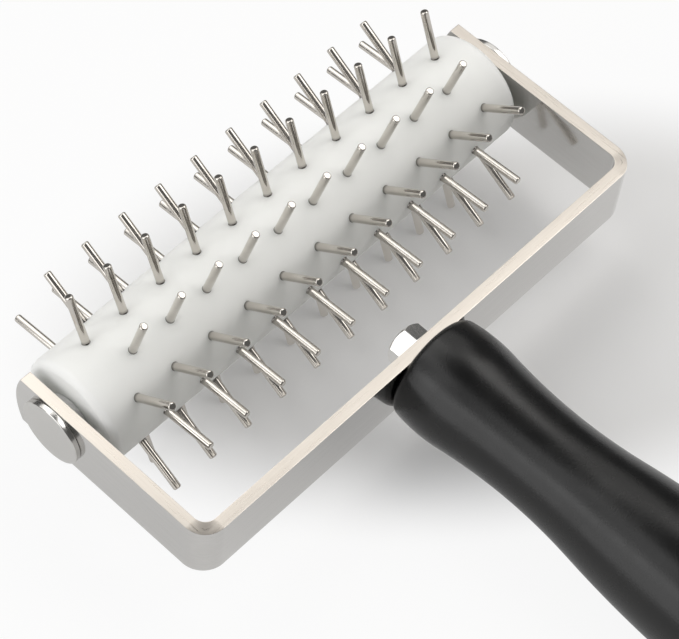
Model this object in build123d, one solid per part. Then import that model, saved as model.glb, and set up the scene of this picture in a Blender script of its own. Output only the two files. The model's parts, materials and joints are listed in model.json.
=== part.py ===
from build123d import *
import math
import os

# A dough docker: a white plastic roller set with blunt steel pins, which spins on an
# axle between the arms of a bent steel yoke. A hex bolt through the yoke's back bar
# holds a black plastic handle. The tool lies as it does on a table, on two rows of
# pins and on the butt of the handle.
#
# X runs along the axle, the handle points to -Y and dips a little, and +Z is up.
# The origin is on the table, under the middle of the whole tool's box.
# Every piece is drawn level, with the axle's middle at zero, and is put in place last.

# Pins
row_count = 10
long_row_pins = 11
pin_pitch = 12.0
pin_diameter = 2.1
pin_reach = 14.5
pin_edge_break = 0.2
pin_seat_wall = 2.9
pin_fit = 0.01

# Roller core
roller_diameter = 30.0
roller_end_margin = 10.2
roller_edge_radius = 0.9
roller_running_fit = 0.08
roller_end_gap = 2.3

# Yoke, bent from one flat bar
bar_thickness = 3.2
bar_width = 18.0
bar_edge_radius = 0.3
bend_inner_radius = 3.2
back_bar_gap = 16.0
arm_tip_reach = 12.9
arm_tip_radius = 23.0

# Axle, its cap and the spacers beside the roller
axle_diameter = 8.0
axle_hole_fit = 0.05
axle_head_margin = 0.1
axle_head_thickness = 1.6
axle_head_edge_radius = 0.3
axle_end_gap = 0.1
axle_socket_wall = 1.45
cap_stud_length = 12.0
cap_stud_relief = 2.0
thread_fit = 0.05
spacer_rim = 2.4
spacer_play = 0.1

# Handle bolt and its washer
bolt_diameter = 6.0
bolt_tip_gap = 1.4
bolt_hole_fit = 0.1
bolt_head_flats = 10.0
bolt_head_height = 4.7
bolt_head_crown = 0.9
bolt_head_bevel = 1.1
bolt_head_turn = 33.4
washer_rim = 2.85
washer_thickness = 1.2

# Threaded insert in the handle
insert_wall = 2.0
insert_length = 22.0
insert_groove_width = 3.0
insert_groove_depth = 0.8
insert_fit = 0.02
insert_relief = 3.0

# Handle grip: runs from its front face to shoulder, waist, swelling and butt
front_radius = 2.5
shoulder_run = 8.8
shoulder_diameter = 29.3
shoulder_curve = 44.0
waist_run = 26.5
waist_depth = 1.85
swelling_run = 61.0
swelling_rise = 4.2
butt_run = 19.7
butt_radius = 12.0

# What every cut runs past the piece that it cuts
cut_overrun = 1.0

# Roller sizes that follow
row_step = 360 / row_count
roller_radius = roller_diameter / 2
roller_length = (long_row_pins - 1) * pin_pitch + 2 * roller_end_margin
roller_bore_radius = axle_diameter / 2 + roller_running_fit
pin_radius = pin_diameter / 2
pin_tip_radius = roller_radius + pin_reach
pin_seat_radius = roller_bore_radius + pin_seat_wall
pin_length = pin_tip_radius - pin_seat_radius

# Yoke sizes that follow
arm_inner_x = roller_length / 2 + roller_end_gap
arm_outer_x = arm_inner_x + bar_thickness
back_inner_y = pin_tip_radius + back_bar_gap
back_outer_y = back_inner_y + bar_thickness

# Axle and fastener sizes that follow
axle_radius = axle_diameter / 2
axle_head_radius = bar_width / 2 - axle_head_margin
socket_radius = axle_radius - axle_socket_wall
bolt_radius = bolt_diameter / 2
bolt_head_corner = bolt_head_flats / 2 / math.cos(math.pi / 6)
insert_bore_radius = bolt_radius + thread_fit
insert_radius = insert_bore_radius + insert_wall


def point_toward(centre, target, radius):
    """The point at a radius from a centre, on the line from it through a target."""
    along = target[0] - centre[0]
    across = target[1] - centre[1]
    share = radius / math.hypot(along, across)
    return centre[0] + along * share, centre[1] + across * share


# Centres of the grip's arcs: distance from the axle, then distance from its own axis
waist_curve = (waist_run**2 + waist_depth**2) / (2 * waist_depth) - shoulder_curve
swelling_curve = (swelling_run**2 + swelling_rise**2) / (2 * swelling_rise) - waist_curve
shoulder_centre = (back_outer_y + shoulder_run, shoulder_diameter / 2 - shoulder_curve)
waist_radius = shoulder_diameter / 2 - waist_depth
waist_centre = (shoulder_centre[0] + waist_run, waist_radius + waist_curve)
swelling_radius = waist_radius + swelling_rise
swelling_centre = (waist_centre[0] + swelling_run, swelling_radius - swelling_curve)
grip_end = swelling_centre[0] + butt_run


def rounding_centre(place, radius, centre, curve):
    """Centre of a rounding that lies inside a larger arc and meets it smoothly."""
    across = math.sqrt((curve - radius) ** 2 - (place - centre[0]) ** 2)
    return place, centre[1] + across


front_centre = rounding_centre(
    back_outer_y + front_radius, front_radius, shoulder_centre, shoulder_curve
)
butt_centre = rounding_centre(
    grip_end - butt_radius, butt_radius, swelling_centre, swelling_curve
)

# The tool rests on two rows of pins, half a step each side of straight down
half_step = math.radians(row_step / 2)
pin_tip_height = pin_tip_radius * math.cos(half_step)
axle_height = pin_tip_height + (pin_radius - pin_edge_break) * math.sin(half_step)

# The handle dips until its butt touches the table as well
butt_distance = math.hypot(butt_centre[0], butt_centre[1])
butt_angle = math.atan2(butt_centre[1], butt_centre[0])
dip = math.asin((axle_height - butt_radius) / butt_distance) - butt_angle

# Middle of the tool's box along Y, from the foremost pin tips to the end of the butt
rear_reach = butt_distance * math.cos(butt_angle - dip) + butt_radius
centre_shift = (rear_reach - pin_tip_radius) / 2


def in_place(piece):
    """Lift a level piece to the height of the axle and centre the tool."""
    return Pos(0, centre_shift, axle_height) * piece


def on_frame(piece):
    """Put a piece of the yoke or the handle in place, dipped with the handle."""
    return in_place(Rot(math.degrees(dip), 0, 0) * piece)


def rod_x(radius, start, end):
    """A plain rod along X from one place to another."""
    length = end - start
    return Pos(start + length / 2, 0, 0) * Rot(0, 90, 0) * Cylinder(radius, length)


def rod_y(radius, start, end):
    """A plain rod along the handle's axis between two distances from the axle."""
    length = end - start
    return Pos(0, -start - length / 2, 0) * Rot(90, 0, 0) * Cylinder(radius, length)


def rim_edges(piece, radius):
    """The round edges of a piece that have one radius."""
    circles = piece.edges().filter_by(GeomType.CIRCLE)
    return circles.filter_by(lambda edge: abs(edge.radius - radius) < radius / 1000)


def pin_places(row):
    """Places along the axle of one row's pins; every other row has one fewer."""
    count = long_row_pins - row % 2
    return [(number - (count - 1) / 2) * pin_pitch for number in range(count)]


def at_pin(place, row, radius):
    """A frame on a row, at a place along the axle, whose Z points outwards."""
    angle = 270 + row_step / 2 + row_step * row
    return Pos(place, 0, 0) * Rot(angle - 90, 0, 0) * Pos(0, 0, radius)


def make_roller_core():
    """White plastic cylinder with the axle's bore and a blind seat for each pin."""
    core = rod_x(roller_radius, -roller_length / 2, roller_length / 2)
    core = fillet(rim_edges(core, roller_radius), roller_edge_radius)
    bore_end = roller_length / 2 + cut_overrun
    seat_length = pin_reach + cut_overrun + roller_radius - pin_seat_radius
    seat = Pos(0, 0, seat_length / 2) * Cylinder(pin_radius + pin_fit, seat_length)
    cuts = [rod_x(roller_bore_radius, -bore_end, bore_end)]
    for row in range(row_count):
        for place in pin_places(row):
            cuts.append(at_pin(place, row, pin_seat_radius) * seat)
    return core - cuts


def make_pin():
    """One blunt pin, standing on its seat, with both ends' edges broken."""
    pin = Pos(0, 0, pin_length / 2) * Cylinder(pin_radius, pin_length)
    return chamfer(rim_edges(pin, pin_radius), pin_edge_break)


def make_pin_row(row):
    """The separate pins of one row, as one group."""
    pin = make_pin()
    seat = pin_seat_radius + pin_fit
    return Compound(children=[at_pin(place, row, seat) * pin for place in pin_places(row)])


def make_bar_outline(inset, corner_radius):
    """The yoke's outline from above, at its outside or at its inside."""
    front = arm_tip_reach + cut_overrun + inset
    half_width = arm_outer_x - inset
    back = back_outer_y - inset
    depth = front + back
    outline = Pos(0, front - depth / 2) * Rectangle(2 * half_width, depth)
    corners = outline.vertices().sort_by(Axis.Y)[:2]
    return fillet(corners, corner_radius)


def make_arm_outline():
    """The arms' outline from the side: a flat bar with a shallow round at the tip."""
    half_width = bar_width / 2
    tip_drop = arm_tip_radius - math.sqrt(arm_tip_radius**2 - half_width**2)
    back = back_outer_y + cut_overrun
    corner = arm_tip_reach - tip_drop
    sides = Polyline(
        (corner, -half_width), (-back, -half_width), (-back, half_width), (corner, half_width)
    )
    tip = ThreePointArc((corner, half_width), (arm_tip_reach, 0), (corner, -half_width))
    return Plane.YZ * make_face(sides + tip)


def make_yoke():
    """The bent bar, with broken edges, two axle holes and a hole for the bolt."""
    outside = make_bar_outline(0, bend_inner_radius + bar_thickness)
    inside = make_bar_outline(bar_thickness, bend_inner_radius)
    bar = extrude(outside - inside, bar_width / 2, both=True)
    side = extrude(make_arm_outline(), arm_outer_x + cut_overrun, both=True)
    bar = bar & side
    bar = fillet(bar.edges(), bar_edge_radius)
    axle_hole_end = arm_outer_x + cut_overrun
    axle_hole = rod_x(axle_radius + axle_hole_fit, -axle_hole_end, axle_hole_end)
    bolt_hole = rod_y(
        bolt_radius + bolt_hole_fit, back_inner_y - cut_overrun, back_outer_y + cut_overrun
    )
    return bar - axle_hole - bolt_hole


def make_axle():
    """Barrel with the left head on it and a threaded socket in its right end."""
    head = rod_x(axle_head_radius, -arm_outer_x - axle_head_thickness, -arm_outer_x)
    head = fillet(rim_edges(head, axle_head_radius), axle_head_edge_radius)
    barrel_end = arm_outer_x - axle_end_gap
    barrel = rod_x(axle_radius, -arm_outer_x, barrel_end)
    socket_start = arm_outer_x - cap_stud_length - cap_stud_relief
    return head + barrel - rod_x(socket_radius, socket_start, barrel_end + cut_overrun)


def make_axle_cap():
    """Right head with the stud that screws into the barrel."""
    head = rod_x(axle_head_radius, arm_outer_x, arm_outer_x + axle_head_thickness)
    head = fillet(rim_edges(head, axle_head_radius), axle_head_edge_radius)
    stud = rod_x(socket_radius - thread_fit, arm_outer_x - cap_stud_length, arm_outer_x)
    return head + stud


def make_spacer(side):
    """Plastic ring round the axle, which keeps the roller off one arm."""
    inner = roller_length / 2 + spacer_play
    ring = rod_x(roller_bore_radius + spacer_rim, inner, arm_inner_x)
    ring -= rod_x(roller_bore_radius, inner - cut_overrun, arm_inner_x + cut_overrun)
    return ring if side > 0 else Rot(0, 0, 180) * ring


def make_washer():
    """Plain washer between the bolt's head and the back bar."""
    start = back_inner_y - washer_thickness
    hole_radius = bolt_radius + bolt_hole_fit
    washer = rod_y(hole_radius + washer_rim, start, back_inner_y)
    return washer - rod_y(hole_radius, start - cut_overrun, back_inner_y + cut_overrun)


def make_bolt():
    """Hex bolt: its head under a turned crown, and its shank into the insert."""
    seat = back_inner_y - washer_thickness
    hexagon = RegularPolygon(bolt_head_corner, 6, rotation=-bolt_head_turn)
    prism = extrude(hexagon, bolt_head_height)
    crown_outline = Polyline(
        (0, 0),
        (bolt_head_corner, 0),
        (bolt_head_corner, bolt_head_height - bolt_head_crown),
        (bolt_head_corner - bolt_head_bevel, bolt_head_height),
        (0, bolt_head_height),
        (0, 0),
    )
    crown = revolve(Plane.XZ * make_face(crown_outline), Axis.Z)
    head = Pos(0, -seat, 0) * Rot(-90, 0, 0) * (prism & crown)
    shank_end = back_outer_y + insert_length - bolt_tip_gap
    return head + rod_y(bolt_radius, seat, shank_end)


def insert_groove():
    """Ring that keeps the insert from pulling out, at the middle of its length."""
    middle = back_outer_y + insert_length / 2
    start = middle - insert_groove_width / 2
    end = middle + insert_groove_width / 2
    ring = rod_y(insert_radius + cut_overrun, start, end)
    return ring - rod_y(insert_radius - insert_groove_depth, start, end)


def make_insert():
    """Threaded insert, moulded into the front of the grip."""
    insert = rod_y(insert_radius, back_outer_y, back_outer_y + insert_length)
    bore_end = back_outer_y + insert_length + cut_overrun
    bore = rod_y(insert_bore_radius, back_outer_y - cut_overrun, bore_end)
    return insert - insert_groove() - bore


def arc_between(centre, curve, start, end):
    """Arc of a known circle between two points, along its shorter way."""
    middle = ((start[0] + end[0]) / 2, (start[1] + end[1]) / 2)
    return ThreePointArc(start, point_toward(centre, middle, curve), end)


def make_grip_outline():
    """Half outline of the grip: front, shoulder, waist, swelling and butt."""
    front_face = (back_outer_y, front_centre[1])
    front_meet = point_toward(shoulder_centre, front_centre, shoulder_curve)
    waist_start = point_toward(shoulder_centre, waist_centre, shoulder_curve)
    waist_end = point_toward(swelling_centre, waist_centre, swelling_curve)
    butt_meet = point_toward(swelling_centre, butt_centre, swelling_curve)
    butt_face = (grip_end, butt_centre[1])
    outline = Polyline(butt_face, (grip_end, 0), (back_outer_y, 0), front_face)
    outline += arc_between(front_centre, front_radius, front_face, front_meet)
    outline += arc_between(shoulder_centre, shoulder_curve, front_meet, waist_start)
    outline += arc_between(waist_centre, waist_curve, waist_start, waist_end)
    outline += arc_between(swelling_centre, swelling_curve, waist_end, butt_meet)
    outline += arc_between(butt_centre, butt_radius, butt_meet, butt_face)
    return make_face(outline)


def make_grip():
    """Black plastic grip, turned about its axis, with the insert's pocket."""
    grip = Rot(0, 0, -90) * revolve(make_grip_outline(), Axis.X)
    pocket_end = back_outer_y + insert_length + insert_relief
    pocket_radius = insert_radius + insert_fit
    pocket = rod_y(pocket_radius, back_outer_y - cut_overrun, pocket_end)
    return grip - pocket


def make_pieces():
    """Every piece of the tool in its place, by name."""
    pieces = {
        "yoke": on_frame(make_yoke()),
        "axle": on_frame(make_axle()),
        "axle_cap": on_frame(make_axle_cap()),
        "spacer_left": on_frame(make_spacer(-1)),
        "spacer_right": on_frame(make_spacer(1)),
        "bolt_washer": on_frame(make_washer()),
        "handle_bolt": on_frame(make_bolt()),
        "handle_insert": on_frame(make_insert()),
        "handle_grip": on_frame(make_grip()),
        "roller_core": in_place(make_roller_core()),
    }
    for row in range(row_count):
        pieces[f"pin_row_{row + 1:02d}"] = in_place(make_pin_row(row))
    return pieces


os.makedirs("parts", exist_ok=True)
for name, piece in make_pieces().items():
    export_step(piece, f"parts/{name}.step")
print(f"axle height {axle_height:.3f}, dip {math.degrees(dip):.3f} degrees")
print(f"centre shift {centre_shift:.3f}, grip length {grip_end - back_outer_y:.2f}")
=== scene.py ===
# %% [markdown]
# # A dough docker, dressed for the studio
# The tool is a white plastic roller set with blunt steel pins. It turns between the
# arms of a bent steel yoke, and a black plastic handle is bolted to the yoke's back bar.
# The solid model comes first and stays fixed. This lesson builds each visible piece
# again with clean rounded meshes, gives it a finish, and lights it on a white table.

# %% Load the fixed frame
import json
import math

import bmesh
import bpy
from mathutils import Matrix, Vector


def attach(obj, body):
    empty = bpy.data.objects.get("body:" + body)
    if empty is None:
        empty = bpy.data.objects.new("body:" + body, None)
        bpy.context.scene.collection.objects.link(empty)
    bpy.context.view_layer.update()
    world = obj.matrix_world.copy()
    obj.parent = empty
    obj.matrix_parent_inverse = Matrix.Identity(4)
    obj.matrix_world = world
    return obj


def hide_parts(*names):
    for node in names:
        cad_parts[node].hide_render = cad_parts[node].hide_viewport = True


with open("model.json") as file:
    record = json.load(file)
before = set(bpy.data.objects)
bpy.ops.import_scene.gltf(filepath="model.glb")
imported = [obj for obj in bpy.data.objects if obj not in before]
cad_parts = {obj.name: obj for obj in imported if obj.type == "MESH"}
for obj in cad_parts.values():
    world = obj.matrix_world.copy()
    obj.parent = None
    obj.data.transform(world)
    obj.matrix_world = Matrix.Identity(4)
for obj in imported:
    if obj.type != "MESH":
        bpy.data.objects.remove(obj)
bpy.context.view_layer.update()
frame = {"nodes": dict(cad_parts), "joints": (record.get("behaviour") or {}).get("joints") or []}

# %% [markdown]
# ## Units and the tilt of the frame
# Blender works in metres and the drawing was made in millimetres, so one small constant
# turns one into the other. The yoke and the handle dip a little, because the tool lies
# on its pins and on the butt of its handle. The roller can stand at any angle on its
# axle, so its pins keep their own angles from the table. The joint in the record says
# where the axle is, and every piece is drawn level around that place before it is put.

# %% Units and places
MM = 0.001
ALONG_X = (1, 0, 0)
ALONG_Y = (0, 1, 0)
ALONG_Z = (0, 0, 1)
FRAME_DIP = math.radians(4.295)
axle_place = Vector(frame["joints"][0]["pos_m"])
lift_to_axle = Matrix.Translation(axle_place)
put_on_frame = lift_to_axle @ Matrix.Rotation(FRAME_DIP, 4, "X")
print("axle at", [round(value, 4) for value in axle_place])

# %% [markdown]
# ## The camera
# The photograph looks down on the tool from the left of the handle, about 55 degrees
# above the table, with a long lens. These angles and this place were worked out from
# where the pins, the yoke's edges and the handle's outline stand in the picture. A
# camera placed by eye would do for a picture of its own, but not to compare the two.

# %% Camera
LENS = 138.63
CAMERA_PLACE = (-0.27677, -0.19929, 0.53559)
CAMERA_ANGLES = (35.443, -0.973, -46.857)
camera_data = bpy.data.cameras.new("studio_camera")
camera_data.lens = LENS
camera = bpy.data.objects.new("studio_camera", camera_data)
camera.location = CAMERA_PLACE
camera.rotation_euler = [math.radians(angle) for angle in CAMERA_ANGLES]
bpy.context.scene.collection.objects.link(camera)
bpy.context.scene.camera = camera
print("lens", LENS, "mm, camera", CAMERA_PLACE[2], "m above the table")

# %% [markdown]
# ## How a finish starts
# A finish is a Principled shader with its plain values set on its own sockets. That
# alone looks made by a computer, because no real surface is even, so each finish goes on
# with small patterns. The same few steps serve every material, so they are functions.

# %% Start a finish
def start_finish(name, colour, metallic, roughness):
    """A named material whose shader has its plain values set."""
    finish = bpy.data.materials.new(name)
    finish.use_nodes = True
    shader = finish.node_tree.nodes["Principled BSDF"]
    shader.inputs["Base Color"].default_value = (*colour, 1)
    shader.inputs["Metallic"].default_value = metallic
    shader.inputs["Roughness"].default_value = roughness
    return finish, shader


def tell(finish):
    """Print how many nodes a finished material has."""
    print(finish.name, "has", len(finish.node_tree.nodes), "nodes")


# %% [markdown]
# ## A grain
# Noise gives specks of one size. A Mapping node in front of it can draw them out to
# streaks: a scale below one along a direction makes the pattern long that way. It reads
# Object coordinates, so the pattern stays on a piece when the roller turns. A picture
# of a surface could do the same, but it would first need the piece to be unwrapped.

# %% Grain
def grain(finish, size, stretch=(1, 1, 1), detail=2):
    """A noise pattern on Object coordinates; size is one speck's width in metres."""
    nodes = finish.node_tree.nodes
    links = finish.node_tree.links
    place = nodes.new("ShaderNodeTexCoord")
    squeeze = nodes.new("ShaderNodeMapping")
    squeeze.inputs["Scale"].default_value = stretch
    noise = nodes.new("ShaderNodeTexNoise")
    noise.inputs["Scale"].default_value = 1 / size
    noise.inputs["Detail"].default_value = detail
    links.new(place.outputs["Object"], squeeze.inputs["Vector"])
    links.new(squeeze.outputs["Vector"], noise.inputs["Vector"])
    return noise.outputs["Fac"]


# %% [markdown]
# ## What a grain can do
# A pattern can move the colour, the roughness or the height of a surface. Most of the
# noise lies between 0.3 and 0.7, so only that range is spread over the two colours or
# the two values. Plastic needs one thing more: light that goes in and spreads below the
# surface.

# %% Colour, roughness, height and depth
PATTERN_LOW = 0.3
PATTERN_HIGH = 0.7
SHARE_OF_LIGHT_LET_IN = 0.8


def vary_colour(finish, shader, pattern, low_colour, high_colour):
    """The pattern moves the colour between two close ones."""
    ramp = finish.node_tree.nodes.new("ShaderNodeValToRGB")
    ramp.color_ramp.elements[0].position = PATTERN_LOW
    ramp.color_ramp.elements[0].color = (*low_colour, 1)
    ramp.color_ramp.elements[1].position = PATTERN_HIGH
    ramp.color_ramp.elements[1].color = (*high_colour, 1)
    finish.node_tree.links.new(pattern, ramp.inputs["Fac"])
    finish.node_tree.links.new(ramp.outputs["Color"], shader.inputs["Base Color"])


def vary_roughness(finish, shader, pattern, low, high):
    """The pattern moves the roughness between two values."""
    spread = finish.node_tree.nodes.new("ShaderNodeMapRange")
    spread.inputs["From Min"].default_value = PATTERN_LOW
    spread.inputs["From Max"].default_value = PATTERN_HIGH
    spread.inputs["To Min"].default_value = low
    spread.inputs["To Max"].default_value = high
    finish.node_tree.links.new(pattern, spread.inputs["Value"])
    finish.node_tree.links.new(spread.outputs["Result"], shader.inputs["Roughness"])


def raise_surface(finish, shader, pattern, height, strength):
    """The pattern stands a tiny height in metres above the surface."""
    bump = finish.node_tree.nodes.new("ShaderNodeBump")
    bump.inputs["Distance"].default_value = height
    bump.inputs["Strength"].default_value = strength
    finish.node_tree.links.new(pattern, bump.inputs["Height"])
    finish.node_tree.links.new(bump.outputs["Normal"], shader.inputs["Normal"])


def let_light_in(shader, depth):
    """The light spreads below the surface as far as a depth in metres."""
    shader.inputs["Subsurface Weight"].default_value = SHARE_OF_LIGHT_LET_IN
    shader.inputs["Subsurface Scale"].default_value = depth
    shader.inputs["Subsurface Radius"].default_value = (1, 1, 1)


# %% [markdown]
# ## How a turned piece is made
# Most pieces of this tool are round about one line, as if they all came from a lathe:
# the roller, the axle, the washers and the handle. A cylinder for each step, joined by
# booleans, would leave messy faces. So such a piece starts as a half outline, a string
# of a few points, and spin takes it round the axis. Its corners are bevelled afterwards,
# as a turner breaks an edge.

# %% Outline and spin
MERGE_WITHIN = 1e-7


def outline(points):
    """A mesh with one string of points joined by edges, given in millimetres."""
    mesh = bmesh.new()
    corners = [mesh.verts.new(Vector(point) * MM) for point in points]
    for start, end in zip(corners, corners[1:]):
        mesh.edges.new((start, end))
    return mesh


def clean(mesh):
    """Merge doubles, so that poles close, and turn all faces outwards."""
    bmesh.ops.remove_doubles(mesh, verts=mesh.verts[:], dist=MERGE_WITHIN)
    bmesh.ops.recalc_face_normals(mesh, faces=mesh.faces[:])


def turn_round(mesh, axis, steps):
    """Spin the whole outline once round an axis through the middle."""
    bmesh.ops.spin(
        mesh,
        geom=mesh.verts[:] + mesh.edges[:],
        cent=(0, 0, 0),
        axis=axis,
        dvec=(0, 0, 0),
        angle=2 * math.pi,
        steps=steps,
        use_merge=True,
        use_duplicate=False,
    )
    clean(mesh)


# %% [markdown]
# ## Edges
# No real edge is perfectly sharp, and a sharp one would never catch the light. The edges
# to round are found by the angle between their two faces, so nobody has to pick them.

# %% Find and round edges
def sharp_edges(mesh, angle=60):
    """Edges where two faces meet more steeply than an angle in degrees."""
    steep = math.radians(angle)
    return [edge for edge in mesh.edges if edge.is_manifold and edge.calc_face_angle() > steep]


def round_edges(mesh, edges, radius, segments):
    """Break or round these edges."""
    bmesh.ops.bevel(
        mesh,
        geom=edges,
        offset=radius * MM,
        offset_type="OFFSET",
        affect="EDGES",
        segments=segments,
        profile=0.5,
        material=-1,
        clamp_overlap=True,
    )


# %% [markdown]
# ## From mesh to piece
# A Weighted Normal modifier lets the large faces decide the shading, so that flat steel
# looks flat.

# %% Finish a piece
LARGE_FACE_WEIGHT = 90


def finish_piece(name, mesh, finish, body, nodes, crease=40):
    """Make the mesh an object, give it its finish, and let it stand for CAD nodes."""
    data = bpy.data.meshes.new(name)
    mesh.to_mesh(data)
    mesh.free()
    for face in data.polygons:
        face.use_smooth = True
    data.set_sharp_from_angle(angle=math.radians(crease))
    data.materials.append(finish)
    piece = bpy.data.objects.new(name, data)
    bpy.context.scene.collection.objects.link(piece)
    even = piece.modifiers.new("even_shading", "WEIGHTED_NORMAL")
    even.keep_sharp = True
    even.weight = LARGE_FACE_WEIGHT
    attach(piece, body)
    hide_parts(*nodes)
    print(name, "has", len(data.polygons), "faces")
    return piece


# %% [markdown]
# ## White plastic of the roller
# The roller is turned from a bar of white plastic. It is not shiny: the light spreads
# over it softly, and fine turning marks run round it. Such plastic lets light in a few
# millimetres deep, which is why its edges glow and its shadows are soft. A brighter
# colour alone would only look like paint, so subsurface scattering does it here.

# %% White plastic
white_plastic, shader = start_finish(
    "white_plastic", (0.85, 0.86, 0.835), metallic=0, roughness=0.5
)
shader.inputs["Specular IOR Level"].default_value = 0.3
clouds = grain(white_plastic, size=0.03)
vary_colour(white_plastic, shader, clouds, (0.855, 0.862, 0.84), (0.885, 0.892, 0.87))
let_light_in(shader, depth=0.008)
turning_marks = grain(white_plastic, size=0.0006, stretch=(1, 0.04, 0.04))
vary_roughness(white_plastic, shader, turning_marks, 0.45, 0.57)
raise_surface(white_plastic, shader, turning_marks, height=0.00002, strength=0.15)
tell(white_plastic)

# %% [markdown]
# ## The roller core
# A tube with softly rounded rims. Four points make its half outline, the spin closes it
# to a ring, and the two outer rims are then rounded with a bevel. The rims are told from
# the ends of the bore by their distance from the axle.

# %% Roller core
ROLLER_RADIUS = 15.0
ROLLER_HALF = 70.2
BORE_RADIUS = 4.08
RIM_RADIUS = 1.9
RIM_STEPS = 8
ROLLER_STEPS = 128

mesh = outline(
    [
        (-ROLLER_HALF, 0, BORE_RADIUS),
        (-ROLLER_HALF, 0, ROLLER_RADIUS),
        (ROLLER_HALF, 0, ROLLER_RADIUS),
        (ROLLER_HALF, 0, BORE_RADIUS),
        (-ROLLER_HALF, 0, BORE_RADIUS),
    ]
)
turn_round(mesh, ALONG_X, ROLLER_STEPS)
midway = (BORE_RADIUS + ROLLER_RADIUS) / 2 * MM
rims = [edge for edge in sharp_edges(mesh) if math.hypot(*edge.verts[0].co.yz) > midway]
round_edges(mesh, rims, RIM_RADIUS, RIM_STEPS)
bmesh.ops.transform(mesh, matrix=lift_to_axle, verts=mesh.verts[:])
finish_piece("plastic_roller", mesh, white_plastic, "roller", ["roller_core"])

# %% [markdown]
# ## Painted shade at the foot of a pin
# Where a pin goes into the plastic, painted shade darkens its steel, standing in for the shadow
# round its foot.
# Where a pin goes into the plastic, a thin dull ring is left that no polishing reaches.
# A second material on a few faces would give a hard line. Here the distance from the
# axle tells how near a place is to the plastic, and the steel darkens softly towards it.
# That works for all rows at once, and it stays right when the roller turns.

# %% Painted shade near the plastic
# Painted shade: near the plastic the steel darkens to this colour, where the pins' feet lie in
# shadow.
PAINTED_SHADE_FROM = 15.1
PAINTED_SHADE_TO = 16.0
PAINTED_SHADE_COLOUR = (0.2, 0.19, 0.18)


def paint_shade_near_plastic(finish, shader):
    """Paint shade into the colour where a place is hardly farther from the axle than the
    plastic.
    """
    nodes = finish.node_tree.nodes
    links = finish.node_tree.links
    place = nodes.new("ShaderNodeTexCoord")
    across = nodes.new("ShaderNodeMapping")
    across.inputs["Location"].default_value = (0, -axle_place.y, -axle_place.z)
    across.inputs["Scale"].default_value = (0, 1, 1)
    distance = nodes.new("ShaderNodeVectorMath")
    distance.operation = "LENGTH"
    clear = nodes.new("ShaderNodeMapRange")
    clear.inputs["From Min"].default_value = PAINTED_SHADE_FROM * MM
    clear.inputs["From Max"].default_value = PAINTED_SHADE_TO * MM
    shade = nodes.new("ShaderNodeMix")
    shade.data_type = "RGBA"
    shade.inputs["A"].default_value = (*PAINTED_SHADE_COLOUR, 1)
    links.new(place.outputs["Object"], across.inputs["Vector"])
    links.new(across.outputs["Vector"], distance.inputs[0])
    links.new(distance.outputs["Value"], clear.inputs["Value"])
    links.new(clear.outputs["Result"], shade.inputs["Factor"])
    links.new(shader.inputs["Base Color"].links[0].from_socket, shade.inputs["B"])
    links.new(shade.outputs["Result"], shader.inputs["Base Color"])


# %% [markdown]
# ## Polished steel of the pins
# The pins are cut from bright drawn wire. They show the room in long stripes, a little
# warm in tone, with a faint haze from tumbling. A perfect mirror would look like chrome,
# so the roughness is low but not zero, and it is uneven.

# %% Polished steel
pin_steel, shader = start_finish("pin_steel", (0.58, 0.55, 0.51), metallic=1, roughness=0.08)
haze = grain(pin_steel, size=0.004)
vary_colour(pin_steel, shader, haze, (0.56, 0.53, 0.485), (0.61, 0.58, 0.54))
scuffs = grain(pin_steel, size=0.0007)
vary_roughness(pin_steel, shader, scuffs, 0.05, 0.12)
# Painted shade round the pins' feet.
paint_shade_near_plastic(pin_steel, shader)
tell(pin_steel)

# %% [markdown]
# ## Where the pins stand
# Ten rows go round the roller at even angles. Rows of eleven and ten take turns, so that
# the pins of one row stand in the gaps of the next. Each place is worked out from the
# pitch, so that no list of places has to be kept.

# %% Places of the pins
ROW_COUNT = 10
LONG_ROW_PINS = 11
PIN_PITCH = 12.0
FIRST_ROW_TURN = 198
TURN_PER_ROW = 360 / ROW_COUNT


def pin_places(row):
    """Places along the axle of one row's pins, in millimetres."""
    count = LONG_ROW_PINS - row % 2
    return [(number - (count - 1) / 2) * PIN_PITCH for number in range(count)]


def row_turn(row):
    """Turn about the axle that takes straight up to the way a row's pins point."""
    return Matrix.Rotation(math.radians(FIRST_ROW_TURN + TURN_PER_ROW * row), 4, "X")


print("pins:", sum(len(pin_places(row)) for row in range(ROW_COUNT)))

# %% [markdown]
# ## The pins
# A pin is a slim cone call with equal ends and its two rims rounded. A second, short
# cone is the lip that rises round a pin's foot when it is pressed in. One pin could be
# copied by an array, but a row is short enough to be drawn pin by pin. Each row is one
# piece, because the frame names the rows.

# %% Pin rows
PIN_RADIUS = 1.05
PIN_TIP = 29.5
PIN_ROOT = 7.0
PIN_SIDES = 20
PIN_EDGE_BREAK = 0.4
PIN_EDGE_STEPS = 3
FOOT_RADIUS = 1.17
FOOT_HEIGHT = 0.4
FOOT_SUNK = 0.1


def draw_peg(mesh, row, place, bottom, top, bottom_radius):
    """One peg of a row between two distances from the axle; its top is as thick as a pin."""
    outwards = row_turn(row)
    middle = Vector((place, 0, 0)) + outwards @ Vector((0, 0, (bottom + top) / 2))
    bmesh.ops.create_cone(
        mesh,
        cap_ends=True,
        segments=PIN_SIDES,
        radius1=bottom_radius * MM,
        radius2=PIN_RADIUS * MM,
        depth=(top - bottom) * MM,
        matrix=lift_to_axle @ Matrix.Translation(middle * MM) @ outwards,
    )


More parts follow.
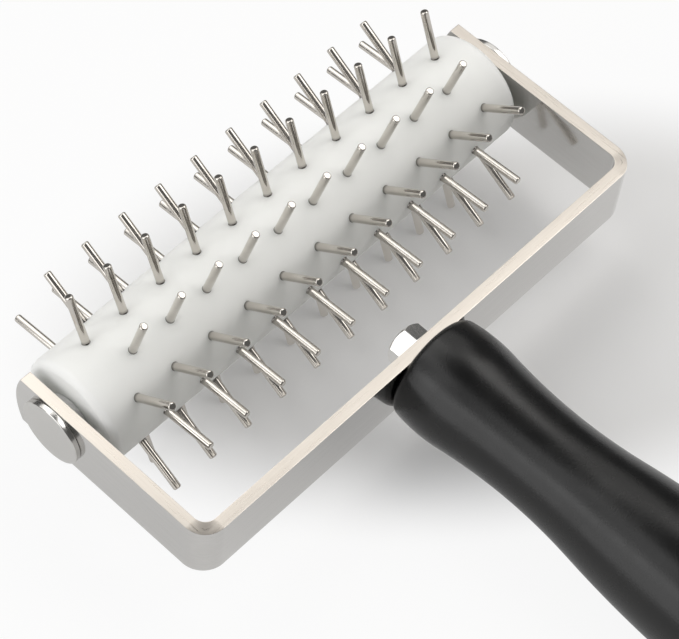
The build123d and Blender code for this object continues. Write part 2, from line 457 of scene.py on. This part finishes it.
foot_bottom = ROLLER_RADIUS - FOOT_SUNK
for row in range(ROW_COUNT):
    mesh = bmesh.new()
    for place in pin_places(row):
        draw_peg(mesh, row, place, PIN_ROOT, PIN_TIP, PIN_RADIUS)
    ends = [face for face in mesh.faces if len(face.verts) > 4]
    end_rims = [edge for face in ends for edge in face.edges]
    round_edges(mesh, end_rims, PIN_EDGE_BREAK, PIN_EDGE_STEPS)
    for place in pin_places(row):
        draw_peg(mesh, row, place, foot_bottom, foot_bottom + FOOT_HEIGHT, FOOT_RADIUS)
    name = f"row_{row + 1:02d}"
    finish_piece(
        f"pins_of_{name}", mesh, pin_steel, "roller", [f"pin_{name}"]
    )

# %% [markdown]
# ## A grain that follows the bend
# The yoke is bent from a flat bar, and all marks on it run lengthwise and turn with the
# bends. A plain grain would run straight on through the corners. To follow the bar, the
# pattern needs to know how deep a place lies in the bar's thickness. On the arms that is
# the distance sideways past their inner faces, on the back it is the distance backwards
# past its inner face. The larger of the two, softened, is right in the bends as well.

# %% The bar's sizes and its grain
BAR_THICKNESS = 3.2
BAR_HALF_WIDTH = 9.0
ARM_INNER = 72.5
ARM_OUTER = ARM_INNER + BAR_THICKNESS
BACK_INNER = 45.5
BACK_OUTER = BACK_INNER + BAR_THICKNESS
BEND_RADIUS = 3.2


def calculate(finish, operation, *values):
    """A Math node; each value is a number or another node's output."""
    node = finish.node_tree.nodes.new("ShaderNodeMath")
    node.operation = operation
    for socket, value in zip(node.inputs, values):
        if isinstance(value, bpy.types.NodeSocket):
            finish.node_tree.links.new(value, socket)
        else:
            socket.default_value = value
    return node.outputs["Value"]


def grain_along_bar(finish, size, slowness):
    """Streaks that run along the bent bar; size is a streak's width in metres."""
    nodes = finish.node_tree.nodes
    links = finish.node_tree.links
    place = nodes.new("ShaderNodeTexCoord")
    level = nodes.new("ShaderNodeMapping")
    level.vector_type = "TEXTURE"
    level.inputs["Location"].default_value = axle_place
    level.inputs["Rotation"].default_value[0] = FRAME_DIP
    apart = nodes.new("ShaderNodeSeparateXYZ")
    links.new(place.outputs["Object"], level.inputs["Vector"])
    links.new(level.outputs["Vector"], apart.inputs["Vector"])
    sideways = calculate(finish, "ABSOLUTE", apart.outputs["X"])
    arm_depth = calculate(finish, "SUBTRACT", sideways, ARM_INNER * MM)
    back_depth = calculate(finish, "MULTIPLY_ADD", apart.outputs["Y"], -1, -BACK_INNER * MM)
    depth = calculate(finish, "SMOOTH_MAX", arm_depth, back_depth, BEND_RADIUS * MM)
    along = calculate(finish, "ADD", sideways, apart.outputs["Y"])
    slow = calculate(finish, "MULTIPLY", along, slowness)
    together = nodes.new("ShaderNodeCombineXYZ")
    links.new(depth, together.inputs["X"])
    links.new(slow, together.inputs["Y"])
    links.new(apart.outputs["Z"], together.inputs["Z"])
    noise = nodes.new("ShaderNodeTexNoise")
    noise.inputs["Scale"].default_value = 1 / size
    noise.inputs["Detail"].default_value = 3
    links.new(together.outputs["Vector"], noise.inputs["Vector"])
    return noise.outputs["Fac"]


# %% [markdown]
# ## Satin steel of the yoke
# The bar's wide faces were rolled smooth enough to show the pins and the handle as
# slightly blurred shapes. The rolling left faint streaks along the bar, in its tone and
# in its shine, so both patterns are drawn out a long way.

# %% Satin steel
bar_steel, shader = start_finish("bar_steel", (0.6, 0.585, 0.56), metallic=1, roughness=0.1)
rolled = grain_along_bar(bar_steel, size=0.0008, slowness=0.05)
vary_colour(bar_steel, shader, rolled, (0.59, 0.58, 0.565), (0.62, 0.61, 0.595))
scratches = grain_along_bar(bar_steel, size=0.00025, slowness=0.02)
vary_roughness(bar_steel, shader, scratches, 0.08, 0.13)
raise_surface(bar_steel, shader, scratches, height=0.0000005, strength=0.2)
tell(bar_steel)

# %% [markdown]
# ## Ground steel of the yoke's edges
# The bar's narrow edges were cut and ground, which left them warmer and duller, with
# fine scratches. With one steel for all the yoke would look cast, so the edges get a
# steel of their own.

# %% Ground steel
edge_steel, shader = start_finish("edge_steel", (0.63, 0.585, 0.53), metallic=1, roughness=0.3)
ground = grain_along_bar(edge_steel, size=0.0005, slowness=0.05)
vary_colour(edge_steel, shader, ground, (0.6, 0.555, 0.5), (0.66, 0.615, 0.56))
vary_roughness(edge_steel, shader, ground, 0.26, 0.34)
raise_surface(edge_steel, shader, ground, height=0.000001, strength=0.3)
tell(edge_steel)

# %% [markdown]
# ## Two ways to go on
# The bar is made as it is bent. Extrude draws a straight run and spin bends a corner,
# and each hands over the end face from which the next one goes on. A curve with a
# profile would be shorter to write, but it gives no hold on the sections in the bends.

# %% Straight runs and bends
BEND_STEPS = 14


def run_straight(mesh, faces, way):
    """Draw the bar's end face out along a straight run; gives the new end face."""
    made = bmesh.ops.extrude_face_region(mesh, geom=faces)["geom"]
    ends = [item for item in made if isinstance(item, bmesh.types.BMVert)]
    bmesh.ops.translate(mesh, vec=Vector(way) * MM, verts=ends)
    return [item for item in made if isinstance(item, bmesh.types.BMFace)]


def bend(mesh, faces, centre):
    """Bend the bar's end face a quarter turn round a centre; gives the new end face."""
    made = bmesh.ops.spin(
        mesh,
        geom=faces,
        cent=Vector(centre) * MM,
        axis=ALONG_Z,
        dvec=(0, 0, 0),
        angle=math.pi / 2,
        steps=BEND_STEPS,
        use_merge=False,
        use_duplicate=False,
    )["geom_last"]
    return [item for item in made if isinstance(item, bmesh.types.BMFace)]


# %% [markdown]
# ## Bending the yoke
# A small grid is the bar's cross-section at the left arm's tip. It has cells across the
# width, so that the tips can be rounded later. Spin leaves the face that it starts from
# inside the bar, where it would spoil the shading, so those sections are deleted.

# %% Yoke, bent from one bar
TIP_REACH = 12.9
CELLS_ACROSS = 12
bend_x = ARM_INNER - BEND_RADIUS
bend_y = -(BACK_INNER - BEND_RADIUS)

mesh = bmesh.new()
bmesh.ops.create_grid(mesh, x_segments=1, y_segments=CELLS_ACROSS, size=0.5)
section_size = (BAR_THICKNESS * MM, 2 * BAR_HALF_WIDTH * MM, 1)
bmesh.ops.scale(mesh, vec=section_size, verts=mesh.verts[:])
stand_section_up = Matrix.Rotation(math.pi / 2, 3, "X")
bmesh.ops.rotate(mesh, cent=(0, 0, 0), matrix=stand_section_up, verts=mesh.verts[:])
tip_middle = Vector((-(ARM_INNER + ARM_OUTER) / 2, TIP_REACH, 0)) * MM
bmesh.ops.translate(mesh, vec=tip_middle, verts=mesh.verts[:])
arm_end = run_straight(mesh, mesh.faces[:], (0, bend_y - TIP_REACH, 0))
left_bend_end = bend(mesh, arm_end, (-bend_x, bend_y, 0))
back_end = run_straight(mesh, left_bend_end, (2 * bend_x, 0, 0))
right_bend_end = bend(mesh, back_end, (bend_x, bend_y, 0))
run_straight(mesh, right_bend_end, (0, TIP_REACH - bend_y, 0))
inner_sections = arm_end + left_bend_end + back_end + right_bend_end
inner_sections = [face for face in inner_sections if face.is_valid]
bmesh.ops.delete(mesh, geom=inner_sections, context="FACES_ONLY")
clean(mesh)
print("sections left inside and deleted:", len(inner_sections), "faces")

# %% [markdown]
# ## Narrowed bends and round tips
# A bend pulls a real bar a little narrower on its outside and lets it swell on its
# inside, here by about a quarter of a millimetre at the most. It is strongest halfway
# round the bend, which the sine of twice the turn says. Both arms end in a shallow
# round, so each place on a tip moves back by its drop below the top of that round.

# %% Shape the bends and the tips
TIP_RADIUS = 23.0
OUTER_PULL = 0.03
INNER_SWELL = 0.01

for vert in mesh.verts:
    if abs(vert.co.x) > bend_x * MM and vert.co.y < bend_y * MM:
        spoke = vert.co.xy - Vector((math.copysign(bend_x, vert.co.x), bend_y)) * MM
        turn = math.atan2(abs(spoke.y), abs(spoke.x))
        outside = spoke.length > (BEND_RADIUS + BAR_THICKNESS / 2) * MM
        pull = -OUTER_PULL if outside else INNER_SWELL
        vert.co.z *= 1 + pull * math.sin(2 * turn)
tips = [vert for vert in mesh.verts if vert.co.y > 0]
for vert in tips:
    drop = TIP_RADIUS - math.sqrt(TIP_RADIUS**2 - (vert.co.z / MM) ** 2)
    vert.co.y -= drop * MM
print("points on the two tips:", len(tips))

# %% [markdown]
# ## The yoke's two finishes
# The edges are broken just enough to catch the light. The narrow edges of the bar face
# up and down, square to its wide faces, so the direction of a face tells which steel it
# gets.

# %% Break the edges and give the finishes
EDGE_BREAK = 0.15
EDGE_BREAK_STEPS = 2
FACES_UP_OR_DOWN = 0.5

round_edges(mesh, sharp_edges(mesh), EDGE_BREAK, EDGE_BREAK_STEPS)
bmesh.ops.transform(mesh, matrix=put_on_frame, verts=mesh.verts[:])
yoke = finish_piece("bent_yoke", mesh, bar_steel, "frame", ["yoke"])
yoke.data.materials.append(edge_steel)
upwards = put_on_frame.to_3x3() @ Vector(ALONG_Z)
edge_faces = [
    face for face in yoke.data.polygons if abs(face.normal @ upwards) > FACES_UP_OR_DOWN
]
for face in edge_faces:
    face.material_index = 1
print("ground edges:", len(edge_faces), "faces")

# %% [markdown]
# ## Turned steel of the axle
# The axle's heads have a satin face and a polished rim, as a lathe leaves them. The
# marks run round the axle, so the grain is drawn out across it and stays fine along it.

# %% Turned steel
axle_steel, shader = start_finish("axle_steel", (0.62, 0.61, 0.59), metallic=1, roughness=0.18)
rings = grain(axle_steel, size=0.0004, stretch=(1, 0.3, 0.3), detail=3)
vary_colour(axle_steel, shader, rings, (0.605, 0.595, 0.575), (0.635, 0.625, 0.605))
vary_roughness(axle_steel, shader, rings, 0.13, 0.24)
raise_surface(axle_steel, shader, rings, height=0.000001, strength=0.2)
tell(axle_steel)

# %% [markdown]
# ## What turns on the axle's line
# The axle, its cap and the two spacers all lie on one line, so they share one helper.
# It spins the half outline, rounds the steep edges and puts the piece on the frame.

# %% Turn a piece on the axle
AXLE_STEPS = 96
TURNED_EDGE_STEPS = 3


def turned_on_axle(points, edge_radius, steps=AXLE_STEPS):
    """A piece turned about the axle; its steep edges are rounded."""
    mesh = outline([(place, 0, radius) for place, radius in points])
    turn_round(mesh, ALONG_X, steps)
    round_edges(mesh, sharp_edges(mesh), edge_radius, TURNED_EDGE_STEPS)
    bmesh.ops.transform(mesh, matrix=put_on_frame, verts=mesh.verts[:])
    return mesh


# %% [markdown]
# ## The axle and its cap
# The left head is one piece with the barrel that goes through the roller. The right
# head is the cap's, and its stud screws into a socket in the barrel's end. Only the two
# heads are seen, but each outline is drawn whole, so that the pieces also look right
# when someone takes them apart.

# %% Axle and cap
AXLE_RADIUS = 4.0
HEAD_RADIUS = 8.9
HEAD_THICKNESS = 1.6
HEAD_EDGE = 0.3
BARREL_SHORT = 0.1
SOCKET_RADIUS = 2.55
SOCKET_DEPTH = 14.0
STUD_RADIUS = 2.5
STUD_LENGTH = 12.0

head_face = ARM_OUTER + HEAD_THICKNESS
barrel_end = ARM_OUTER - BARREL_SHORT
axle_points = [
    (-head_face, 0),
    (-head_face, HEAD_RADIUS),
    (-ARM_OUTER, HEAD_RADIUS),
    (-ARM_OUTER, AXLE_RADIUS),
    (barrel_end, AXLE_RADIUS),
    (barrel_end, SOCKET_RADIUS),
    (ARM_OUTER - SOCKET_DEPTH, SOCKET_RADIUS),
    (ARM_OUTER - SOCKET_DEPTH, 0),
]
mesh = turned_on_axle(axle_points, HEAD_EDGE)
finish_piece("axle_with_head", mesh, axle_steel, "frame", ["axle"])
cap_points = [
    (head_face, 0),
    (head_face, HEAD_RADIUS),
    (ARM_OUTER, HEAD_RADIUS),
    (ARM_OUTER, STUD_RADIUS),
    (ARM_OUTER - STUD_LENGTH, STUD_RADIUS),
    (ARM_OUTER - STUD_LENGTH, 0),
]
mesh = turned_on_axle(cap_points, HEAD_EDGE)
finish_piece("screwed_cap", mesh, axle_steel, "frame", ["axle_cap"])

# %% [markdown]
# ## The spacers
# Two plain rings keep the roller off the arms. Only their tops show in the gaps, so a
# simple white plastic will do for them: a faint cloud in the colour and some depth.

# %% Spacers
SPACER_RADIUS = 6.48
SPACER_EDGE = 0.15
SPACER_STEPS = 64
RUNNING_GAP = 0.1

spacer_plastic, shader = start_finish(
    "spacer_plastic", (0.87, 0.87, 0.85), metallic=0, roughness=0.5
)
faint_clouds = grain(spacer_plastic, size=0.003)
vary_colour(spacer_plastic, shader, faint_clouds, (0.86, 0.86, 0.84), (0.89, 0.89, 0.87))
let_light_in(shader, depth=0.004)
tell(spacer_plastic)
for side, name in ((-1, "left"), (1, "right")):
    inner = side * (ROLLER_HALF + RUNNING_GAP)
    outer = side * ARM_INNER
    ring_points = [
        (inner, BORE_RADIUS),
        (inner, SPACER_RADIUS),
        (outer, SPACER_RADIUS),
        (outer, BORE_RADIUS),
        (inner, BORE_RADIUS),
    ]
    mesh = turned_on_axle(ring_points, SPACER_EDGE, SPACER_STEPS)
    finish_piece(
        f"{name}_spacer_ring", mesh, spacer_plastic, "frame", [f"spacer_{name}"]
    )

# %% [markdown]
# ## Polished steel of the bolt
# The bolt and its washer are the brightest metal on the tool. They are polished almost
# to a mirror, and a spanner and wiping have left tiny scratches, which the grain makes
# by roughening the surface here and there.

# %% Polished fastener steel
bolt_steel, shader = start_finish("bolt_steel", (0.8, 0.79, 0.77), metallic=1, roughness=0.1)
fine_scratches = grain(bolt_steel, size=0.0012, detail=4)
vary_colour(bolt_steel, shader, fine_scratches, (0.78, 0.77, 0.75), (0.82, 0.81, 0.79))
vary_roughness(bolt_steel, shader, fine_scratches, 0.07, 0.2)
tell(bolt_steel)

# %% [markdown]
# ## The bolt's head
# A cone call with six sides and equal ends is the hexagon. The crown of a real bolt is
# turned as a cone, which leaves a scallop on each flat. A boolean with a cone could cut
# it, but its faces come out long and thin. Cutting the prism with a plane again and
# again, each time turned a little further, makes the same cone and stays clean.

# %% Hex head
FLATS = 10.0
CORNER = FLATS / 2 / math.cos(math.pi / 6)
HEAD_HEIGHT = 4.7
CROWN = 0.9
CROWN_BEVEL = 1.1
CROWN_CUTS = 36
CUT_WITHIN = 1e-8
FLAT_EDGE = 0.25
FLAT_EDGE_STEPS = 2

mesh = bmesh.new()
bmesh.ops.create_cone(
    mesh,
    cap_ends=True,
    segments=6,
    radius1=CORNER * MM,
    radius2=CORNER * MM,
    depth=HEAD_HEIGHT * MM,
    matrix=Matrix.Translation((0, 0, HEAD_HEIGHT * MM / 2)),
)
cone_slope = Vector((CROWN, 0, CROWN_BEVEL)).normalized()
cone_edge = Vector((CORNER - CROWN_BEVEL, 0, HEAD_HEIGHT)) * MM
for number in range(CROWN_CUTS):
    turn = Matrix.Rotation(2 * math.pi * number / CROWN_CUTS, 3, "Z")
    cut = bmesh.ops.bisect_plane(
        mesh,
        geom=mesh.verts[:] + mesh.edges[:] + mesh.faces[:],
        dist=CUT_WITHIN,
        plane_co=turn @ cone_edge,
        plane_no=turn @ cone_slope,
        use_snap_center=False,
        clear_outer=True,
        clear_inner=False,
    )
    rim = [item for item in cut["geom_cut"] if isinstance(item, bmesh.types.BMEdge)]
    bmesh.ops.holes_fill(mesh, edges=rim, sides=0)
clean(mesh)
upright_edges = [
    edge
    for edge in sharp_edges(mesh, angle=50)
    if abs(edge.verts[0].co.z - edge.verts[1].co.z) > MM
]
round_edges(mesh, upright_edges, FLAT_EDGE, FLAT_EDGE_STEPS)
print("upright edges of the hexagon:", len(upright_edges))

# %% [markdown]
# ## The bolt's shank and its place
# The shank goes on below the head, through the back bar and into the handle. The head
# sits on its washer, turned as in the photograph, where a corner's angle from X was
# measured. A cone call has its first corner on Y and so its nearest one 30 degrees from
# X, and the head turns by both angles together.

# %% Whole bolt, put in its place
WASHER_THICKNESS = 1.2
BOLT_RADIUS = 3.0
BOLT_SIDES = 48
BOLT_REACH = 20.6
CORNER_TURN = 33.4
FIRST_CORNER_TURN = 30
seat = BACK_INNER - WASHER_THICKNESS
shank_length = BACK_OUTER + BOLT_REACH - seat

bmesh.ops.create_cone(
    mesh,
    cap_ends=True,
    segments=BOLT_SIDES,
    radius1=BOLT_RADIUS * MM,
    radius2=BOLT_RADIUS * MM,
    depth=shank_length * MM,
    matrix=Matrix.Translation((0, 0, -shank_length * MM / 2)),
)
lay_down = Matrix.Translation((0, -seat * MM, 0)) @ Matrix.Rotation(-math.pi / 2, 4, "X")
turn_head = Matrix.Rotation(-math.radians(CORNER_TURN + FIRST_CORNER_TURN), 4, "Z")
bmesh.ops.transform(mesh, matrix=put_on_frame @ lay_down @ turn_head, verts=mesh.verts[:])
finish_piece(
    "hex_bolt", mesh, bolt_steel, "frame", ["handle_bolt"], crease=20
)

# %% [markdown]
# ## The washer
# A plain washer spreads the bolt's pull on the bar. It is another turned ring, only its
# axis runs along the handle.

# %% Plain washer
WASHER_RADIUS = 5.95
WASHER_HOLE = 3.1
WASHER_EDGE = 0.15
WASHER_EDGE_STEPS = 2
WASHER_STEPS = 64

mesh = outline(
    [
        (WASHER_HOLE, -seat, 0),
        (WASHER_RADIUS, -seat, 0),
        (WASHER_RADIUS, -BACK_INNER, 0),
        (WASHER_HOLE, -BACK_INNER, 0),
        (WASHER_HOLE, -seat, 0),
    ]
)
turn_round(mesh, ALONG_Y, WASHER_STEPS)
round_edges(mesh, sharp_edges(mesh), WASHER_EDGE, WASHER_EDGE_STEPS)
bmesh.ops.transform(mesh, matrix=put_on_frame, verts=mesh.verts[:])
finish_piece("plain_washer", mesh, bolt_steel, "frame", ["bolt_washer"])

# %% [markdown]
# ## Black plastic of the handle
# The handle is moulded in a hard black plastic, and the mould was given a fine grain.
# That grain spreads the lamps into long soft bands instead of sharp lines. Roughness
# alone would spread them too, but then the plastic would not glint at all, so a little
# of each is used.

# %% Black plastic
black_plastic, shader = start_finish(
    "black_plastic", (0.003, 0.003, 0.003), metallic=0, roughness=0.26
)
shader.inputs["Specular IOR Level"].default_value = 0.4
mould_grain = grain(black_plastic, size=0.00045, detail=3)
vary_colour(black_plastic, shader, mould_grain, (0.002, 0.002, 0.002), (0.005, 0.005, 0.005))
raise_surface(black_plastic, shader, mould_grain, height=0.00005, strength=0.6)
handling = grain(black_plastic, size=0.006)
vary_roughness(black_plastic, shader, handling, 0.24, 0.3)
tell(black_plastic)

# %% [markdown]
# ## The line of the handle
# Its half outline is a chain of arcs that meet smoothly: a rounded front, the shoulder,
# the waist, the long swelling and the round butt. Two arcs that bend opposite ways meet
# smoothly when their radii add up to the distance of their centres. The distance of
# their crests, along and across, says what that sum is. A small rounding inside a large
# arc meets it smoothly when the distance of their centres is the large radius less the
# small one.

# %% Sizes and centres of the arcs
FRONT_RADIUS = 2.5
SHOULDER_PLACE = 57.5
SHOULDER_RADIUS = 14.65
SHOULDER_CURVE = 44.0
WAIST_RUN = 26.5
WAIST_DEPTH = 1.85
SWELLING_RUN = 61.0
SWELLING_RISE = 4.2
BUTT_RUN = 19.7
BUTT_RADIUS = 12.0


def sum_of_curves(run, rise):
    """Sum of two arcs' radii, from how far apart their crests are, along and across."""
    return (run**2 + rise**2) / (2 * rise)


def rounding_centre(place, radius, centre, curve):
    """Centre of a small rounding that touches a large arc from inside."""
    height = math.sqrt((curve - radius) ** 2 - (place - centre[0]) ** 2)
    return (place, centre[1] + height)


waist_curve = sum_of_curves(WAIST_RUN, WAIST_DEPTH) - SHOULDER_CURVE
swelling_curve = sum_of_curves(SWELLING_RUN, SWELLING_RISE) - waist_curve
waist_radius = SHOULDER_RADIUS - WAIST_DEPTH
swelling_radius = waist_radius + SWELLING_RISE
shoulder_centre = (SHOULDER_PLACE, SHOULDER_RADIUS - SHOULDER_CURVE)
waist_centre = (SHOULDER_PLACE + WAIST_RUN, waist_radius + waist_curve)
swelling_centre = (waist_centre[0] + SWELLING_RUN, swelling_radius - swelling_curve)
grip_end = swelling_centre[0] + BUTT_RUN
front_place = BACK_OUTER + FRONT_RADIUS
front_centre = rounding_centre(front_place, FRONT_RADIUS, shoulder_centre, SHOULDER_CURVE)
butt_place = grip_end - BUTT_RADIUS
butt_centre = rounding_centre(butt_place, BUTT_RADIUS, swelling_centre, swelling_curve)
print("waist", 2 * waist_radius, "mm and swelling", 2 * swelling_radius, "mm across")

# %% [markdown]
# ## Drawing an arc
# One point spun about an arc's centre draws that arc, and the next arc starts from where
# it ends. So the outline needs no list of points that something else worked out.

# %% Arc by arc
def angle_from(centre, target):
    """Direction from one point of the outline's plane to another."""
    return math.atan2(target[1] - centre[1], target[0] - centre[0])


def draw_arc(mesh, start, centre, end_angle, steps):
    """Draw an arc from a point about a centre to a direction; gives its last point."""
    middle = Vector((centre[0], centre[1], 0)) * MM
    start_angle = angle_from(middle, start.co)
    turn = math.remainder(end_angle - start_angle, 2 * math.pi)
    drawn = bmesh.ops.spin(
        mesh,
        geom=[start],
        cent=middle,
        axis=ALONG_Z,
        dvec=(0, 0, 0),
        angle=turn,
        steps=steps,
        use_merge=False,
        use_duplicate=False,
    )
    return [item for item in drawn["geom_last"] if isinstance(item, bmesh.types.BMVert)][0]


# %% [markdown]
# ## The handle grip
# The outline starts in the pocket that holds the threaded insert, goes out over the
# front face, follows the five arcs and ends on the axis at the butt. Each arc is given
# by its centre, the direction that it ends in and its number of steps. Then the outline
# is spun like the other round pieces, and laid along the handle.

# %% Handle grip
POCKET_RADIUS = 5.07
POCKET_DEPTH = 25.0
GRIP_STEPS = 128
pocket_end = BACK_OUTER + POCKET_DEPTH

mesh = outline(
    [
        (pocket_end, 0, 0),
        (pocket_end, POCKET_RADIUS, 0),
        (BACK_OUTER, POCKET_RADIUS, 0),
        (BACK_OUTER, front_centre[1], 0),
    ]
)
arcs = (
    (front_centre, angle_from(shoulder_centre, front_centre), 8),
    (shoulder_centre, angle_from(shoulder_centre, waist_centre), 14),
    (waist_centre, angle_from(waist_centre, swelling_centre), 24),
    (swelling_centre, angle_from(swelling_centre, butt_centre), 24),
    (butt_centre, 0, 16),
)
mesh.verts.ensure_lookup_table()
point = mesh.verts[-1]
for centre, end_angle, steps in arcs:
    point = draw_arc(mesh, point, centre, end_angle, steps)
pole = mesh.verts.new((grip_end * MM, 0, 0))
mesh.edges.new((point, pole))
turn_round(mesh, ALONG_X, GRIP_STEPS)
along_handle = Matrix.Rotation(-math.pi / 2, 4, "Z")
bmesh.ops.transform(mesh, matrix=put_on_frame @ along_handle, verts=mesh.verts[:])
finish_piece("black_grip", mesh, black_plastic, "frame", ["handle_grip"])

# %% [markdown]
# ## Brass of the hidden insert
# The threaded insert stays inside the handle. Its solid is right as it is, so it is not
# built again and only gets a finish: plain turned brass.

# %% Insert
turned_brass, shader = start_finish(
    "turned_brass", (0.72, 0.55, 0.28), metallic=1, roughness=0.3
)
tool_marks = grain(turned_brass, size=0.001)
vary_colour(turned_brass, shader, tool_marks, (0.7, 0.53, 0.26), (0.74, 0.57, 0.3))
vary_roughness(turned_brass, shader, tool_marks, 0.25, 0.4)
insert = frame["nodes"]["handle_insert"]
insert.data.materials.clear()
insert.data.materials.append(turned_brass)
tell(turned_brass)

# %% [markdown]
# ## The table
# The tool lies on a wide pale sheet. It is so wide that its edge stays out of sight from
# low down. A circle with its end filled is all that it takes.

# %% Sheet of the table
TABLE_SIZE = 12.0
TABLE_SIDES = 64

mesh = bmesh.new()
bmesh.ops.create_circle(mesh, cap_ends=True, segments=TABLE_SIDES, radius=TABLE_SIZE)
data = bpy.data.meshes.new("white_table")
mesh.to_mesh(data)
mesh.free()
table = bpy.data.objects.new("white_table", data)
bpy.context.scene.collection.objects.link(table)
print("table", 2 * TABLE_SIZE, "m across")

# %% [markdown]
# ## A table that is white to look at
# In the photograph the ground is plain white, and softly grey inside the yoke and beside
# the handle. More lamps would make it white, but they would burn out the roller. So a
# share of what the camera sees of the table is simply white and needs no light. Near the
# tool that share gives way, and there the table shows its shadows. Polished metal gets a
# share of that white too, or it would mirror a dull table.

# %% White for the camera and for mirrors
TABLE_COLOUR = (0.75, 0.75, 0.75)
TABLE_ROUGHNESS = 0.8
TABLE_SHINE = 0.2
GREY_MIDDLE = (0.04, 0.03, 0)
GREY_TURN = math.radians(-37)
GREY_REACH = (0.1, 0.055, 1)
FADE_STARTS = 0.75
FADE_ENDS = 1.3
WHITE_SHARE_NEAR = 0.14
WHITE_SHARE_FAR = 0.9
WHITE_SHARE_MIRRORED = 0.35

table_white, table_shader = start_finish(
    "table_white", TABLE_COLOUR, metallic=0, roughness=TABLE_ROUGHNESS
)
table_shader.inputs["Specular IOR Level"].default_value = TABLE_SHINE
nodes = table_white.node_tree.nodes
links = table_white.node_tree.links
place = nodes.new("ShaderNodeTexCoord")
around = nodes.new("ShaderNodeMapping")
around.vector_type = "TEXTURE"
around.inputs["Location"].default_value = GREY_MIDDLE
around.inputs["Rotation"].default_value[2] = GREY_TURN
around.inputs["Scale"].default_value = GREY_REACH
reach = nodes.new("ShaderNodeVectorMath")
reach.operation = "LENGTH"
fade = nodes.new("ShaderNodeMapRange")
fade.interpolation_type = "SMOOTHSTEP"
fade.inputs["From Min"].default_value = FADE_STARTS
fade.inputs["From Max"].default_value = FADE_ENDS
fade.inputs["To Min"].default_value = WHITE_SHARE_NEAR
fade.inputs["To Max"].default_value = WHITE_SHARE_FAR
links.new(place.outputs["Object"], around.inputs["Vector"])
links.new(around.outputs["Vector"], reach.inputs[0])
links.new(reach.outputs["Value"], fade.inputs["Value"])
tell(table_white)

# %% [markdown]
# ## Who sees the white
# Light Path tells what kind of ray asks. Camera rays get the share that fades, mirrored
# rays get a fixed share, and all other rays get none, so the table throws back no more
# light than a real one. The world behind the table asks the same, so this is a helper.

# %% Mix the white in
def seen_or_mirrored(finish, seen, mirrored):
    """One value for camera rays, another for glossy and transmitted ones, else nothing."""
    rays = finish.node_tree.nodes.new("ShaderNodeLightPath")
    glossy = rays.outputs["Is Glossy Ray"]
    through = rays.outputs["Is Transmission Ray"]
    either = calculate(finish, "MAXIMUM", glossy, through)
    mirrored_value = calculate(finish, "MULTIPLY", either, mirrored)
    seen_value = calculate(finish, "MULTIPLY", rays.outputs["Is Camera Ray"], seen)
    return calculate(finish, "MAXIMUM", seen_value, mirrored_value)


share = seen_or_mirrored(table_white, fade.outputs["Result"], WHITE_SHARE_MIRRORED)
glow = nodes.new("ShaderNodeEmission")
glow.inputs["Strength"].default_value = 1.0
blend = nodes.new("ShaderNodeMixShader")
links.new(share, blend.inputs["Fac"])
links.new(table_shader.outputs["BSDF"], blend.inputs[1])
links.new(glow.outputs["Emission"], blend.inputs[2])
links.new(blend.outputs["Shader"], nodes["Material Output"].inputs["Surface"])
table.data.materials.append(table_white)
tell(table_white)

# %% [markdown]
# ## Lamps
# What the photograph's steel and plastic mirror tells where its lamps were. Six soft
# boxes stand in for them: three behind the roller, a high one and a low one on the left,
# and one in front on the right, which the ends of one upper row of pins mirror. Each is
# a square area lamp that faces the tool, placed by two angles. Its brightness is given
# as a level, so that a larger lamp is not brighter to look at.

# %% Soft boxes
LAMP_DISTANCE = 0.9
TOOL_MIDDLE = Vector((0, 0.02, 0.03))
WHITE_LIGHT = (1, 1, 1)


def soft_box(name, around, above, size, brightness, colour=WHITE_LIGHT):
    """A square lamp that faces the tool; its place is two angles in degrees."""
    lamp = bpy.data.lights.new(name, "AREA")
    lamp.shape = "SQUARE"
    lamp.size = size
    lamp.energy = brightness * math.pi * size**2
    lamp.color = colour
    holder = bpy.data.objects.new(name, lamp)
    turn = Matrix.Rotation(math.radians(around), 3, "Z")
    lift = Matrix.Rotation(-math.radians(above), 3, "Y")
    way = turn @ lift @ Vector(ALONG_X)
    holder.location = TOOL_MIDDLE + way * LAMP_DISTANCE
    holder.rotation_euler = way.to_track_quat("Z", "Y").to_euler()
    bpy.context.scene.collection.objects.link(holder)
    print(name, "shines with", round(lamp.energy, 2), "watts")


soft_box("back_right_box", 45, 52, size=0.7, brightness=1.0, colour=(1, 0.985, 0.96))
soft_box("back_box", 90, 50, size=0.7, brightness=1.2, colour=(1, 0.99, 0.97))
soft_box("back_left_box", 135, 48, size=0.7, brightness=0.8)
soft_box("left_high_box", 180, 50, size=0.7, brightness=0.75)
soft_box("left_low_box", 172, 18, size=0.75, brightness=2.0)
soft_box("right_front_box", 328, 50, size=0.76, brightness=2.4, colour=(1, 0.98, 0.955))

# %% [markdown]
# ## The room
# The room round the lamps is dim, which puts the dark stripes between the bright ones on
# the pins. A low camera looks past the table, and there it has to see the same white as
# on the table, so the world too is whiter to the camera, and a little so to mirrors.

# %% Room and colours of the picture
ROOM_LEVEL = 0.09
ROOM_IN_MIRRORS = 0.15
ROOM_BEHIND_TABLE = 0.93

room = bpy.data.worlds.new("studio_room")
bpy.context.scene.world = room
room.use_nodes = True
room_light = room.node_tree.nodes["Background"]
room_light.inputs["Color"].default_value = (1, 1, 1, 1)
shown_level = seen_or_mirrored(room, ROOM_BEHIND_TABLE, ROOM_IN_MIRRORS)
room_level = calculate(room, "MAXIMUM", shown_level, ROOM_LEVEL)
room.node_tree.links.new(room_level, room_light.inputs["Strength"])
bpy.context.scene.view_settings.view_transform = "Standard"
print("room has", len(room.node_tree.nodes), "nodes")
